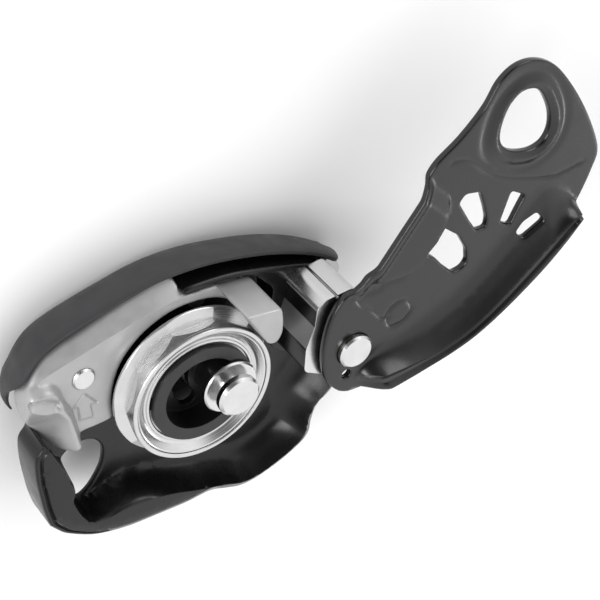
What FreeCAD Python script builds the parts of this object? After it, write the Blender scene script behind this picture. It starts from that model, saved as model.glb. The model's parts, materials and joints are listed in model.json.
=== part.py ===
"""Assisted-braking belay device, shown open, as an assembly of separate pieces.

Frame: the origin is the centre of the attachment eye on the resting plane, +X runs from the eye
to the swing pivot, +Y to the handle side and +Z out of the open face. Units are millimetres.
"""
import FreeCAD, Part
import math
import os

import Sketcher
from FreeCAD import Placement, Rotation, Vector

DIMS = {
    # levels above the resting plane
    "plate_back": 9.5, "floor_top": 11.5, "friction_top": 17.0, "rim_top": 20.0,
    "wheel_back": 17.9, "flange_top": 18.7, "cam_face": 24.8, "wheel_face": 25.0,
    "pin_top": 30.3, "seat_top": 17.5, "lug_step": 26.0, "lug_top": 31.0, "post_top": 31.0,
    "swing_back": 32.0, "swing_face": 34.0, "rivet_top": 35.6, "lip_top": 39.2,
    "arm_back": 3.0, "arm_front": 6.0, "grip_top": 16.0, "grip_web": 2.6,
    # places of the axes
    "axle_x": 39.4, "axle_y": 6.8, "wheel_x": 33.0, "wheel_y": 10.0,
    "pivot_x": 68.8, "pivot_y": 0.0, "hinge_x": 77.0, "hinge_y": -3.0,
    # radii
    "pin_radius": 3.5, "pin_head": 5.6, "pin_flange": 7.35, "hub_radius": 5.6,
    "boss_radius": 13.5, "opening_radius": 10.2, "bush_outer": 13.85, "bore_radius": 13.9,
    "cone_inner": 14.2, "cone_outer": 17.6, "ring_radius": 19.0, "flange_radius": 21.0,
    "root_radius": 17.6, "cam_flange": 14.6, "lug_inner": 23.5,
    "rivet_radius": 3.0, "rivet_head": 4.6, "eye_long": 9.5, "eye_short": 7.4,
    "drive_track": 9.5, "drive_radius": 1.5, "hinge_radius": 2.0, "cap_radius": 11.0,
    "stop_track": 9.3,
}

doc = FreeCAD.newDocument("belay_device")
sheet = doc.addObject("Spreadsheet::Sheet", "dims")
for row, (alias, number) in enumerate(DIMS.items(), start=1):
    sheet.set("A%d" % row, alias)
    sheet.set("B%d" % row, str(number))
    sheet.setAlias("B%d" % row, alias)
doc.recompute()

pieces = []


def value(term):
    """Number of a term: a plain number, an alias, or an (alias, extra) pair."""
    if isinstance(term, tuple):
        return DIMS[term[0]] + term[1]
    return DIMS[term] if isinstance(term, str) else term


def formula(term):
    """The same term as a spreadsheet expression."""
    if isinstance(term, tuple):
        return "<<dims>>.%s + %s" % term
    return "<<dims>>." + term if isinstance(term, str) else str(term)


def keep(piece, label):
    piece.Label = label
    pieces.append(piece)
    return piece


def new_body(label, centre=None):
    """An empty body, moved to an axis in the plane when centre names its two cells."""
    body = keep(doc.addObject("PartDesign::Body", label), label)
    if centre:
        body.setExpression("Placement.Base.x", formula(centre[0]))
        body.setExpression("Placement.Base.y", formula(centre[1]))
    return body


def new_sketch(body, level=0.0, plane="XY_Plane"):
    sketch = body.newObject("Sketcher::SketchObject", body.Name + "_sketch")
    face = next(item for item in body.Origin.OriginFeatures if item.Role == plane)
    sketch.AttachmentSupport = [(face, "")]
    sketch.MapMode = "FlatFace"
    if plane == "XY_Plane":
        sketch.setExpression("AttachmentOffset.Base.z", formula(level))
    return sketch


def rounded(points, radius):
    """Closed outline of straight runs whose corners are arcs of up to the radius."""
    count = len(points)
    corners = []
    for index in range(count):
        here = Vector(*points[index], 0)
        before = Vector(*points[index - 1], 0) - here
        after = Vector(*points[(index + 1) % count], 0) - here
        half = before.getAngle(after) / 2
        reach = min(radius / math.tan(half), 0.48 * before.Length, 0.48 * after.Length)
        depth = reach / math.cos(half) - reach * math.tan(half)
        middle = (before.normalize() + after.normalize()).normalize() * depth
        corners.append((here + before * reach, here + middle, here + after * reach))
    outline = []
    for index in range(count):
        outline.append(Part.LineSegment(corners[index - 1][2], corners[index][0]))
        outline.append(Part.Arc(*corners[index]))
    return outline


def circle(term_radius, centre=(0, 0)):
    return [Part.Circle(Vector(*centre, 0), Vector(0, 0, 1), value(term_radius))]


def ellipse(long_radius, short_radius, centre, turn):
    """Ellipse whose long axis is turned from +X by an angle in degrees."""
    along = Vector(math.cos(math.radians(turn)), math.sin(math.radians(turn)), 0)
    middle = Vector(*centre, 0)
    side = Vector(-along.y, along.x, 0)
    return [Part.Ellipse(middle + along * long_radius, middle + side * short_radius, middle)]


def arc_slot(track, half_width, start, end, centre=(0, 0)):
    """Slot along an arc, with round ends, between two angles in degrees."""
    def at(radius, angle):
        turn = math.radians(angle)
        return Vector(centre[0] + radius * math.cos(turn), centre[1] + radius * math.sin(turn), 0)
    inner, outer = track - half_width, track + half_width
    middle = (start + end) / 2
    tip = math.degrees(half_width / track)
    return [
        Part.Arc(at(outer, start), at(outer, middle), at(outer, end)),
        Part.Arc(at(outer, end), at(track, end + tip), at(inner, end)),
        Part.Arc(at(inner, end), at(inner, middle), at(inner, start)),
        Part.Arc(at(inner, start), at(track, start - tip), at(outer, start)),
    ]


def draw(sketch, outlines):
    for outline in outlines:
        sketch.addGeometry(outline, False)
    for number, shape in enumerate(sketch.Geometry):
        if isinstance(shape, Part.Circle):
            sketch.addConstraint(Sketcher.Constraint("Radius", number, shape.Radius))


def bind_radius(sketch, term):
    """Ties the first radius of a sketch to its cell."""
    sketch.setExpression("Constraints[0]", formula(term))


def pad(body, outlines, low, high, first_radius=None):
    sketch = new_sketch(body, low)
    draw(sketch, outlines)
    if first_radius:
        bind_radius(sketch, first_radius)
    feature = body.newObject("PartDesign::Pad", body.Name + "_pad")
    feature.Profile = sketch
    feature.setExpression("Length", "(%s) - (%s)" % (formula(high), formula(low)))
    doc.recompute()
    return feature


def pocket(body, outlines, low, high, first_radius=None):
    """Cuts between two levels, and checks that something was cut."""
    before = body.Shape.Volume
    sketch = new_sketch(body, high)
    draw(sketch, outlines)
    if first_radius:
        bind_radius(sketch, first_radius)
    feature = body.newObject("PartDesign::Pocket", body.Name + "_pocket")
    feature.Profile = sketch
    feature.setExpression("Length", "(%s) - (%s)" % (formula(high), formula(low)))
    doc.recompute()
    if body.Shape.Volume > before - 0.01:
        raise RuntimeError(body.Label + ": a pocket cuts nothing")
    return feature


def many_loft(body, kind, levels):
    """Ruled loft through outlines that have the same number of runs, each at its level."""
    sections = []
    for outline, level in levels:
        sketch = new_sketch(body, level)
        draw(sketch, [outline])
        sections.append(sketch)
    feature = body.newObject("PartDesign::%sLoft" % kind, body.Name + "_loft")
    feature.Profile = sections[0]
    feature.Sections = sections[1:]
    feature.Ruled = True
    doc.recompute()
    return feature


def turned(label, centre, profile):
    """Lathe part about a vertical axis: profile corners are (radius, level) terms."""
    body = new_body(label, centre)
    sketch = new_sketch(body, plane="XZ_Plane")
    corners = [Vector(value(radius), value(level), 0) for radius, level in profile]
    count = len(corners)
    for index in range(count):
        sketch.addGeometry(Part.LineSegment(corners[index], corners[(index + 1) % count]), False)
    for index in range(count):
        sketch.addConstraint(Sketcher.Constraint("Coincident", index, 2, (index + 1) % count, 1))
    for index, (radius, level) in enumerate(profile):
        for kind, term in (("DistanceX", radius), ("DistanceY", level)):
            number = sketch.addConstraint(
                Sketcher.Constraint(kind, -1, 1, index, 1, value(term)))
            sketch.setExpression("Constraints[%d]" % number, formula(term))
    feature = body.newObject("PartDesign::Revolution", label + "_turn")
    feature.Profile = sketch
    feature.ReferenceAxis = (sketch, ["V_Axis"])
    feature.Angle = 360
    doc.recompute()
    return body


def sleeve(label, centre, inner, outer, low, high):
    return turned(label, centre, [(inner, low), (outer, low), (outer, high), (inner, high)])


AXLE = ("axle_x", "axle_y")
WHEEL = ("wheel_x", "wheel_y")
PIVOT = ("pivot_x", "pivot_y")
HINGE = ("hinge_x", "hinge_y")


def place(centre):
    return (DIMS[centre[0]], DIMS[centre[1]])


# ---- the fixed side ----

LOWER_EDGE = [(-15.2, -2), (-12.7, -8.8), (-7.1, -16), (7.6, -24.6), (20, -29.4), (23.5, -31),
              (29.4, -36.3), (36, -38.3), (47, -38.4), (52.7, -36.3), (57.5, -28.8), (64, -27),
              (71, -20.5), (76, -11), (78.6, -4)]
RIVET = (12.0, 30.8)        # seen on both faces
BLIND_RIVET = (44.5, 27.6)  # ends inside the friction plate
POST_SCREWS = [(61.2, 1.8), (70.6, 9.6)]
EYE_TURN = 66
STOP_TURN = 50
FACETS = 10
FACET_TURN = 14


def fixed_side_plate():
    body = new_body("fixed_side_plate")
    upper_edge = [(79, 2), (77.5, 9), (73.5, 15), (66, 21.4), (59, 26.8), (54.4, 30),
                  (48.4, 33), (42.5, 35.2), (39.5, 33.2), (25, 35.4), (15.8, 36.5), (6, 36.6),
                  (-2.6, 33.2), (-4.2, 28), (-4.6, 23), (-8.4, 21.6), (-11, 15)]
    pad(body, [rounded(LOWER_EDGE + upper_edge, 6)], "plate_back", "floor_top")
    inside = [(70, -2), (30, -10), (10, -5), (-4, 0), (-4.2, 9), (-7.6, 13.6), (-10.4, 12.6)]
    pad(body, [rounded(LOWER_EDGE + inside, 6)], "floor_top", "rim_top")
    floor_line = [(-4.1, 20), (-4.6, 5), (-6, 1), (-6.2, -6.5), (-4, -9.5), (1.5, -9.6), (9.5, -11),
                  (14, -15), (22, -19.5), (30, -26), (36, -28.5), (45, -30), (50, -27), (53, -20),
                  (61, -17), (69, -13.6), (90, -3), (90, 40), (-4, 40)]
    rim_line = [(-4, 20), (-4.4, 5), (-6.8, 1), (-7.2, -6.5), (-5.6, -10.4), (0.7, -12.4),
                (8.9, -14.9), (12.5, -19), (21.7, -25.2), (29.5, -33), (35, -34.8), (45, -36.2),
                (49.5, -34), (54, -25.4), (62, -23), (70, -18), (90, -4.5), (90, 41), (-4, 41)]
    many_loft(body, "Subtractive", [(rounded(floor_line, 2), "floor_top"),
                                    (rounded(rim_line, 2), ("rim_top", 0.2))])
    seat = [(79, 2), (77.5, 9), (73.5, 15), (66, 21.4), (59, 26.8), (54.4, 30), (48.4, 33),
            (42.8, 35), (42.8, 33), (46.6, 31.3), (51, 29.5), (58.9, 25.2), (60.6, 20.6),
            (62.4, 17), (57, 8), (54.9, 0.5), (58.6, -6.6), (70, -12), (76, -10.6), (78.6, -4)]
    pad(body, [rounded(seat, 1.5)], "floor_top", "seat_top")
    pocket(body, [ellipse(DIMS["eye_long"], DIMS["eye_short"], (0, 0), EYE_TURN)],
           ("plate_back", -1), ("rim_top", 1))
    pocket(body, [circle("pin_head", place(AXLE))], ("plate_back", -1), "floor_top", "pin_head")
    holes = [circle(2.3, RIVET), circle(2.3, BLIND_RIVET)] + [circle(1.6, point) for point in POST_SCREWS]
    holes += [circle("rivet_radius", place(PIVOT)), circle(1.5, stop_place())]
    pocket(body, holes, ("plate_back", -1), "seat_top")
    track = DIMS["drive_track"]
    pocket(body, [arc_slot(track, DIMS["drive_radius"] + 0.5, 105, 155, place(AXLE))],
           ("plate_back", -1), "floor_top")
    return body


def stop_place():
    """The stop pin stands in a notch of the cam's flange."""
    turn = math.radians(STOP_TURN)
    return (DIMS["axle_x"] + DIMS["stop_track"] * math.cos(turn),
            DIMS["axle_y"] + DIMS["stop_track"] * math.sin(turn))


def friction_plate():
    body = new_body("friction_plate")
    wheel = place(WHEEL)
    outline = [(-3.4, 33.2), (-4.4, 29), (-4.4, 24.6), (-3.1, 18.8), (-1, 13), (1.6, 10.6),
               (6, 13.6), (11.6, 13.7), (14.2, 16.4), (18, 22), (30, 28), (50, 22), (55.5, 17.4),
               (57.4, 20.7), (58.4, 24.2), (50.6, 28.4), (45.9, 30.3), (35.9, 34.1), (25.3, 36.2),
               (15.8, 37.3), (9.4, 38.2), (5.6, 37.6), (1.6, 35.6)]
    pad(body, [rounded(outline, 2.5)], "floor_top", "friction_top")
    end = [(-3.4, 33.2), (-4.4, 29), (-4.4, 24.6), (-3.1, 18.8), (-1, 13), (1.6, 11), (3.4, 15),
           (4.2, 21), (3.6, 27), (1.4, 31.5), (2, 35.4)]
    pad(body, [rounded(end, 2)], "friction_top", ("rim_top", -0.2))
    foot = [(46.8, 29.9), (51, 24), (55.5, 17.2), (57.4, 20.7), (58.4, 24.2)]
    pad(body, [rounded(foot, 1.2)], "friction_top", "lug_step")
    claw = [(50, 28.9), (51.3, 21), (51.5, 17), (53.6, 15.7), (55.8, 17.4), (57.4, 20.7),
            (58.4, 24.2)]
    pad(body, [rounded(claw, 1.2)], "lug_step", "lug_top")
    pocket(body, [circle("lug_inner", wheel)], ("friction_top", 0), "lug_step", "lug_inner")
    pocket(body, [circle(20.6, (wheel[0], wheel[1] + 1))], "floor_top", "friction_top")
    pocket(body, [circle(2.3, RIVET)], "floor_top", "friction_top")
    pocket(body, [circle(2.3, BLIND_RIVET)], "floor_top", ("friction_top", -1.5))
    return body


def friction_plate_rivets():
    """Two fasteners in one node: a rivet with two heads, and a blind one with a back head."""
    low, high = DIMS["plate_back"], DIMS["friction_top"]
    solids = []
    for (x, y), top in ((RIVET, high), (BLIND_RIVET, high - 1.5)):
        shank = Part.makeCylinder(2.3, top - low, Vector(x, y, low))
        back = Part.makeCone(2.5, 3.0, 0.5, Vector(x, y, low - 0.5))
        solids.append(shank.fuse(back).removeSplitter())
    front = Part.makeCone(3.0, 2.5, 0.5, Vector(*RIVET, high))
    solids[0] = solids[0].fuse(front).removeSplitter()
    rivets = keep(doc.addObject("Part::Feature", "friction_plate_rivets"), "friction_plate_rivets")
    rivets.Shape = Part.makeCompound(solids)
    return rivets


def pivot_post():
    body = new_body("pivot_post")
    outline = [(55.9, 0.8), (58.8, 7), (63.4, 12), (65.6, 16.2), (69, 17.2), (76.6, 14.8),
               (77, 2), (72, -7.4), (60.4, -4.8)]
    pad(body, [rounded(outline, 2.2)], "seat_top", "post_top")
    pocket(body, [circle("rivet_radius", place(PIVOT))], "seat_top", "post_top", "rivet_radius")
    pocket(body, [circle(1.6, point) for point in POST_SCREWS], "seat_top", ("seat_top", 4))
    groove = [(71.2, 18), (71.2, 15.6), (71.9, 15.4), (71.9, 18)]
    pocket(body, [rounded(groove, 0.2)], "seat_top", "post_top")
    return body


def post_screws():
    """Two countersunk screws, up through the plate into the post."""
    solids = []
    for x, y in POST_SCREWS:
        low = DIMS["plate_back"]
        shank = Part.makeCylinder(1.6, 11.4, Vector(x, y, low))
        head = Part.makeCone(2.5, 2.8, 1.1, Vector(x, y, low - 1.1))
        socket = Part.Wire(Part.makePolygon([
            Vector(x + 1.2 * math.cos(k * math.pi / 3), y + 1.2 * math.sin(k * math.pi / 3),
                   low - 1.1) for k in range(7)]))
        drive = Part.Face(socket).extrude(Vector(0, 0, 0.9))
        solids.append(shank.fuse(head).cut(drive).removeSplitter())
    group = keep(doc.addObject("Part::Feature", "post_screws"), "post_screws")
    group.Shape = Part.makeCompound(solids)
    return group


def pivot_rivet():
    return turned("pivot_rivet", PIVOT, [
        (0, ("plate_back", -1.2)), (("rivet_head", -0.7), ("plate_back", -1.2)),
        ("rivet_head", ("plate_back", -0.7)), ("rivet_head", "plate_back"),
        ("rivet_radius", "plate_back"), ("rivet_radius", ("swing_face", 0.3)),
        ("rivet_head", ("swing_face", 0.3)), ("rivet_head", ("rivet_top", -0.5)),
        (("rivet_head", -0.5), "rivet_top"), (0, "rivet_top")])


def cam_axle():
    return turned("cam_axle", AXLE, [
        (0, 1.5), (("pin_radius", -0.5), 1.5), ("pin_radius", 1.9), ("pin_radius", 2.0),
        (("pin_radius", -0.6), 2.0), (("pin_radius", -0.6), 2.6), ("pin_radius", 2.6),
        ("pin_radius", ("cam_face", 0.15)), (("pin_flange", -0.2), ("cam_face", 0.15)),
        ("pin_flange", ("cam_face", 0.35)), ("pin_flange", ("cam_face", 0.8)),
        (("pin_flange", -0.4), ("cam_face", 1.2)), ("pin_radius", ("cam_face", 1.2)),
        ("pin_radius", ("pin_top", -2.5)), (("pin_head", -0.4), ("pin_top", -2.5)),
        ("pin_head", ("pin_top", -2.1)), ("pin_head", ("pin_top", -0.7)),
        (("pin_head", -0.7), "pin_top"), (0, "pin_top")])


def axle_retaining_ring():
    """Spring clip in the axle's rear groove, open on one side."""
    body = new_body("axle_retaining_ring", AXLE)
    pad(body, [circle(5.6)], 2.05, 2.55)
    pocket(body, [circle(("pin_radius", -0.6))], 2.05, 2.55)
    pocket(body, [rounded([(0, -1.7), (7, -2.6), (7, 2.6), (0, 1.7)], 0.3)], 2.05, 2.55)
    return body


# ---- the cam and the wheel that turns on it ----

def cam_centre():
    """Offset of the wheel's axis from the cam's own axis."""
    return (DIMS["wheel_x"] - DIMS["axle_x"], DIMS["wheel_y"] - DIMS["axle_y"])


def cam_hub():
    """Eccentric hub: turns on the axle and carries the wheel on its open boss."""
    body = new_body("cam_hub", AXLE)
    offset = cam_centre()
    bore = ("pin_radius", 0.05)
    web_low, web_high = ("wheel_back", -2.3), ("wheel_back", -0.3)
    pad(body, [circle("hub_radius")], ("floor_top", 0.6), web_low)
    pad(body, [circle("cam_flange", offset)], web_low, web_high, "cam_flange")
    pad(body, [circle("boss_radius", offset)], web_high, "cam_face", "boss_radius")
    pocket(body, [circle("opening_radius", offset)], web_high, ("cam_face", 1), "opening_radius")
    pad(body, [circle("hub_radius")], web_high, "cam_face")
    pocket(body, [circle(bore)], ("floor_top", 0), ("cam_face", 1), bore)
    pocket(body, [arc_slot(DIMS["drive_track"], 2.3, 92, 196)], ("wheel_back", -3),
           ("wheel_back", 0))
    notch = arc_slot(DIMS["stop_track"], 1.9, STOP_TURN - 1, STOP_TURN + 14)
    pocket(body, [notch], ("wheel_back", -3), ("wheel_back", 0.3))
    groove = [circle(("boss_radius", 0.5), offset), circle(("boss_radius", -0.4), offset)]
    pocket(body, groove, ("cam_face", -2.2), ("cam_face", -1.7))
    return body


def wheel_retaining_ring():
    """Split spring ring, half in the boss's groove and half in the wheel's."""
    body = new_body("wheel_retaining_ring", WHEEL)
    level = (("cam_face", -2.2), ("cam_face", -1.7))
    pad(body, [circle(("bore_radius", 0.35))], *level)
    pocket(body, [circle(("boss_radius", -0.4))], *level)
    pocket(body, [rounded([(-16, 6), (-10, 4), (-9, 7), (-14, 10)], 0.3)], *level)
    return body


def wheel_bush():
    return sleeve("wheel_bush", WHEEL, "boss_radius", "bush_outer", ("wheel_back", 0.1),
                  ("cam_face", -2.4))


def cam_stop_pin():
    low, high = DIMS["plate_back"], DIMS["wheel_back"] - 1.2
    body = new_body("cam_stop_pin")
    pad(body, [circle(1.5, stop_place())], low, high)
    return body


def sheave_wheel():
    """Grooved wheel: the groove's walls are flat facets, so that the rope can't slip."""
    body = turned("sheave_wheel", WHEEL, [
        ("bore_radius", "wheel_back"), (("flange_radius", -0.3), "wheel_back"),
        ("flange_radius", ("wheel_back", 0.3)), ("flange_radius", ("flange_top", 0.9)),
        (("flange_radius", -0.4), ("flange_top", 2.0)), ("ring_radius", ("wheel_face", -2.0)),
        ("ring_radius", ("wheel_face", -0.8)), (("ring_radius", -0.9), ("wheel_face", -0.8)),
        (("ring_radius", -0.9), ("wheel_face", -0.15)), ("cone_outer", ("wheel_face", -0.15)),
        ("cone_inner", ("wheel_face", -1.2)), ("bore_radius", ("wheel_face", -1.4)),
        ("bore_radius", ("cam_face", -1.6)), (("bore_radius", 0.5), ("cam_face", -1.6)),
        (("bore_radius", 0.5), ("cam_face", -2.3)), ("bore_radius", ("cam_face", -2.3))])
    low, root, high = DIMS["flange_top"], DIMS["flange_top"] + 1.4, DIMS["wheel_face"] - 1.4
    wide, narrow = DIMS["flange_radius"], DIMS["root_radius"]
    lower = Part.makeLoft([facets(wide, low), facets(narrow, root)], True, True)
    upper = Part.makeLoft([facets(narrow, root), facets(DIMS["ring_radius"], high)], True, True)
    blank = Part.makeCylinder(wide + 3, high - low, Vector(0, 0, low))
    cutter = doc.addObject("Part::Feature", "groove_cutter")
    cutter.Shape = blank.cut(lower.fuse(upper))
    cutter.Placement = Placement(Vector(DIMS["wheel_x"], DIMS["wheel_y"], 0), Rotation())
    wheel = doc.addObject("Part::Cut", "sheave_wheel_cut")
    wheel.Base = body
    wheel.Tool = cutter
    pieces.remove(body)
    body.Label = "sheave_blank"
    doc.recompute()
    return keep(wheel, "sheave_wheel")


def facets(apothem, level):
    """Regular polygon whose sides touch a circle about the wheel's axis."""
    corner = apothem / math.cos(math.pi / FACETS)
    turns = [math.radians(FACET_TURN + 360 / FACETS * side) for side in range(FACETS + 1)]
    return Part.makePolygon([
        Vector(corner * math.cos(turn), corner * math.sin(turn), level) for turn in turns])


def sheave_front_ring():
    """Bright steel rim, pressed round the wheel's front face."""
    return sleeve("sheave_front_ring", WHEEL, ("ring_radius", -0.9), "ring_radius",
                  ("wheel_face", -0.8), "wheel_face")


def coil_spring(label, centre, mean, wire, low, turns):
    """Close-wound torsion spring about a vertical axis."""
    pitch = 2.4 * wire
    helix = Part.makeHelix(pitch, pitch * turns, mean)
    section = Part.Wire(Part.makeCircle(wire, Vector(mean, 0, 0), Vector(0, 1, 0)))
    pipe = Part.Wire(helix.Edges).makePipeShell([section], True, True)
    spring = keep(doc.addObject("Part::Feature", label), label)
    spring.Shape = pipe
    spring.Placement = Placement(Vector(*place(centre), low + wire), Rotation())
    return spring


# ---- the swinging side plate ----

SWING_EYE = (131.2, 27.6)


def moving_side_plate():
    body = new_body("moving_side_plate")
    outline = [(59.4, -6), (60.4, 2), (62.6, 7.4), (67.2, 13.8), (72.4, 17.4), (77.4, 17),
               (83, 19), (91, 24), (98.6, 29), (105.9, 35.2), (114.3, 37.2), (122.1, 40.6),
               (127.9, 45), (133.3, 46.2), (138.4, 43.8), (142.6, 38.8), (145.3, 31.1),
               (147.4, 20.4), (148.6, 10), (148, 2), (143.6, -3.2), (132, -6.4), (115, -9),
               (98, -10.6), (82, -9.6), (74, -12), (68, -14.4), (61.4, -11)]
    pad(body, [rounded(outline, 6)], "swing_back", "swing_face")
    pocket(body, [circle(("rivet_head", -0.2), place(PIVOT))], "swing_back", "swing_face")
    pocket(body, [circle(1.1, (64.4, -6.0))], "swing_back", "swing_face")
    pocket(body, [ellipse(DIMS["eye_long"], DIMS["eye_short"], SWING_EYE, 90)],
           "swing_back", "swing_face")
    windows = [[(95.2, 11.2), (102.6, 14.4), (105.6, 4.6), (104.4, -1.2), (100, -1)],
               [(108, 18.4), (114.4, 17.2), (113.8, 6.6), (112.2, 4.4), (109.2, 7.4)],
               [(121.6, 10.4), (126, 5.8), (119.6, 0.3), (116.7, 3)],
               [(126.6, -1.5), (127.6, -5.1), (120.3, -5.7), (119.4, -3)]]
    pocket(body, [rounded(window, 1.4) for window in windows], "swing_back", "swing_face")
    lip = doc.addObject("Part::Feature", "rolled_lip")
    lip.Shape = lip_shape()
    plate = doc.addObject("Part::Fuse", "plate_with_lip")
    plate.Base = body
    plate.Tool = lip
    pieces.remove(body)
    body.Label = "flat_plate"
    doc.recompute()
    return keep(plate, "moving_side_plate")


def lip_shape():
    """Guide lip along the plate's long edge: a ramp that climbs to a rolled bead."""
    thick = 1.6
    stations = [((64.6, -7.4), (66.2, -13), 0.3), ((70, -6.6), (70.8, -14.8), 0.75),
                ((80, -6.6), (79.5, -17.8), 1.0), ((98, -6.6), (97.8, -20.6), 1.0),
                ((114, -2.6), (117, -17.4), 1.0), ((126, 1.2), (130.4, -13), 1.0),
                ((134.2, 4.6), (138.4, -8.4), 1.0)]
    low, high = DIMS["swing_back"] + 0.2, DIMS["lip_top"]
    wires = []
    for inner, outer, lift in stations:
        root = Vector(*inner, 0)
        across = Vector(*outer, 0) - root
        top = low + (high - low) * lift

        def at(part, level):
            return Vector(root.x + across.x * part, root.y + across.y * part, level)
        profile = [at(0, low), at(0.22, low), at(0.72, top - thick - 0.6), at(0.93, top - thick - 0.5),
                   at(1, top - thick - 0.4), at(1, top - 0.6), at(0.9, top), at(0.68, top),
                   at(0.16, low + thick), at(0, low + thick)]
        wires.append(Part.makePolygon(profile + [profile[0]]))
    return Part.makeLoft(wires, True, True)


# ---- the release lever and the folding handle ----

def lever_root():
    """Flat arm behind the fixed plate, from the axle to the handle's hinge."""
    body = new_body("lever_root")
    axle, hinge = place(AXLE), place(HINGE)
    arm = [(33, -2), (29.5, 7), (32, 16.5), (40, 18.6), (50, 14), (76, 2.6), (83, -1), (82, -7),
           (76, -8.6), (58, -5), (44, -4.4)]
    pad(body, [rounded(arm, 6)], "arm_back", "arm_front")
    pad(body, [circle(5.0, axle)], "arm_front", ("plate_back", -0.3))
    pocket(body, [circle(("pin_radius", 0.05), axle)], "arm_back", "plate_back",
           ("pin_radius", 0.05))
    pocket(body, [circle("hinge_radius", hinge)], "arm_back", "arm_front", "hinge_radius")
    pocket(body, [circle("drive_radius", drive_place())], "arm_back", "arm_front", "drive_radius")
    return body


def drive_place():
    turn = math.radians(110)
    return (DIMS["axle_x"] + DIMS["drive_track"] * math.cos(turn),
            DIMS["axle_y"] + DIMS["drive_track"] * math.sin(turn))


def lever_drive_pin():
    body = new_body("lever_drive_pin")
    pad(body, [circle("drive_radius", drive_place())], "arm_back", ("wheel_back", 1.6),
        "drive_radius")
    return body


def lever_hub_cap():
    """Moulded cap over the axle's rear end."""
    return turned("lever_hub_cap", AXLE, [
        (0, 0), (("cap_radius", -0.8), 0), ("cap_radius", 0.8), ("cap_radius", "arm_back"),
        (6.6, "arm_back"), (6.6, 0.9), (0, 0.9)])


def handle_hinge_pin():
    return turned("handle_hinge_pin", HINGE, [
        (0, 0.4), (3.4, 0.4), (3.4, 1.0), ("hinge_radius", 1.0), ("hinge_radius", 7.6),
        (3.2, 7.6), (2.8, 8.2), (0, 8.2)])


GRIP_EDGE = [(-6, 29.6), (-5.4, 33), (-3.6, 38), (0.6, 42.2), (6, 45.2), (11.5, 46.2),
             (18, 45.6), (28, 43.9), (38.5, 42), (48.5, 38.2), (58, 32.4), (67.5, 25.2),
             (75.5, 17.2), (80.6, 9.4), (82.8, 3.6)]
GRIP_LEVELS = [(0, 9.2), (2, 6.6), (5, 3.2), (8, 0.8), (16, 0)]
GRIP_WALL = 1.7


def grip_line(inset):
    """The grip's outer line, moved inwards."""
    line = []
    last = len(GRIP_EDGE) - 1
    for index, (x, y) in enumerate(GRIP_EDGE):
        ahead = Vector(*GRIP_EDGE[min(index + 1, last)], 0)
        behind = Vector(*GRIP_EDGE[max(index - 1, 0)], 0)
        along = (ahead - behind).normalize()
        line.append((x + along.y * inset, y - along.x * inset))
    return line


def handle_grip():
    """Moulded channel: an outer wall round the handle side, and a web behind the plate."""
    body = new_body("handle_grip")
    inner_edge = [(82.4, -3), (81.4, -7), (77, -9.6), (71, -7), (69.4, -1), (68, 9), (58, 19.5),
                  (44, 25), (26, 29), (8, 28), (0, 27)]
    many_loft(body, "Additive", [
        (rounded(grip_line(inset) + inner_edge, 4), level) for level, inset in GRIP_LEVELS])
    beyond = [(88, 3.6), (88, -14), (60, -14), (50, 10), (8, 20), (-9, 22), (-9, 28)]
    many_loft(body, "Subtractive", [
        (rounded(grip_line(inset + GRIP_WALL) + beyond, 1.5), level)
        for level, inset in [(DIMS["grip_web"], 6)] + GRIP_LEVELS[2:-1]
        + [(DIMS["grip_top"] + 0.2, 0)]])
    pocket(body, [circle(7, place(HINGE))], "grip_web", "grip_top")
    free_end = [(-12, 20), (-1, 20), (-1.6, 36), (0.6, 40), (-4, 48), (-12, 48)]
    pocket(body, [rounded(free_end, 1)], ("plate_back", -0.5), "grip_top")
    tab = [(82.4, 5), (83, -3), (82, -8), (77, -9.6), (71.6, -7), (71, 0), (76, 4), (80.4, 8.4)]
    pad(body, [rounded(tab, 2)], 6.3, 7.5)
    pocket(body, [circle(("hinge_radius", 0.05), place(HINGE))], 0, 7.5)
    pocket(body, [circle(3.6, place(HINGE))], 0, 1.05)
    for x, y, turn in ((14, 35.4, 84), (25, 33, 88), (36, 31.8, 96), (46, 28.6, 108),
                       (56, 23.6, 120)):
        pad(body, [rib(x, y, turn)], "grip_web", 4.8)
    return body


def rib(x, y, turn):
    """Stiffening rib of the handle, across its channel."""
    along = Vector(math.cos(math.radians(turn)), math.sin(math.radians(turn)), 0)
    side = Vector(-along.y, along.x, 0) * 0.6
    middle = Vector(x, y, 0)
    corners = [middle + along * 4.6 + side, middle - along * 4 + side,
               middle - along * 4 - side, middle + along * 4.6 - side]
    return rounded([(corner.x, corner.y) for corner in corners], 0.2)


def build():
    fixed_side_plate()
    sleeve("axle_bush", AXLE, ("pin_radius", 0.05), "pin_head", "plate_back", ("floor_top", 0.3))
    friction_plate()
    friction_plate_rivets()
    pivot_post()
    post_screws()
    pivot_rivet()
    sleeve("pivot_washer", PIVOT, ("rivet_radius", 0.05), 6.2, "post_top", ("swing_back", -0.05))
    cam_axle()
    axle_retaining_ring()
    cam_stop_pin()
    coil_spring("cam_return_spring", AXLE, 6.9, 0.4, DIMS["floor_top"] + 0.3, 3)
    cam_hub()
    wheel_bush()
    wheel_retaining_ring()
    sheave_wheel()
    sheave_front_ring()
    moving_side_plate()
    sleeve("pivot_bush", PIVOT, ("rivet_radius", 0.05), ("rivet_head", -0.2), "swing_back",
           "swing_face")
    lever_root()
    lever_hub_cap()
    lever_drive_pin()
    coil_spring("lever_return_spring", AXLE, 6.2, 0.42, DIMS["arm_front"] + 0.15, 2)
    handle_hinge_pin()
    handle_grip()


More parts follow.
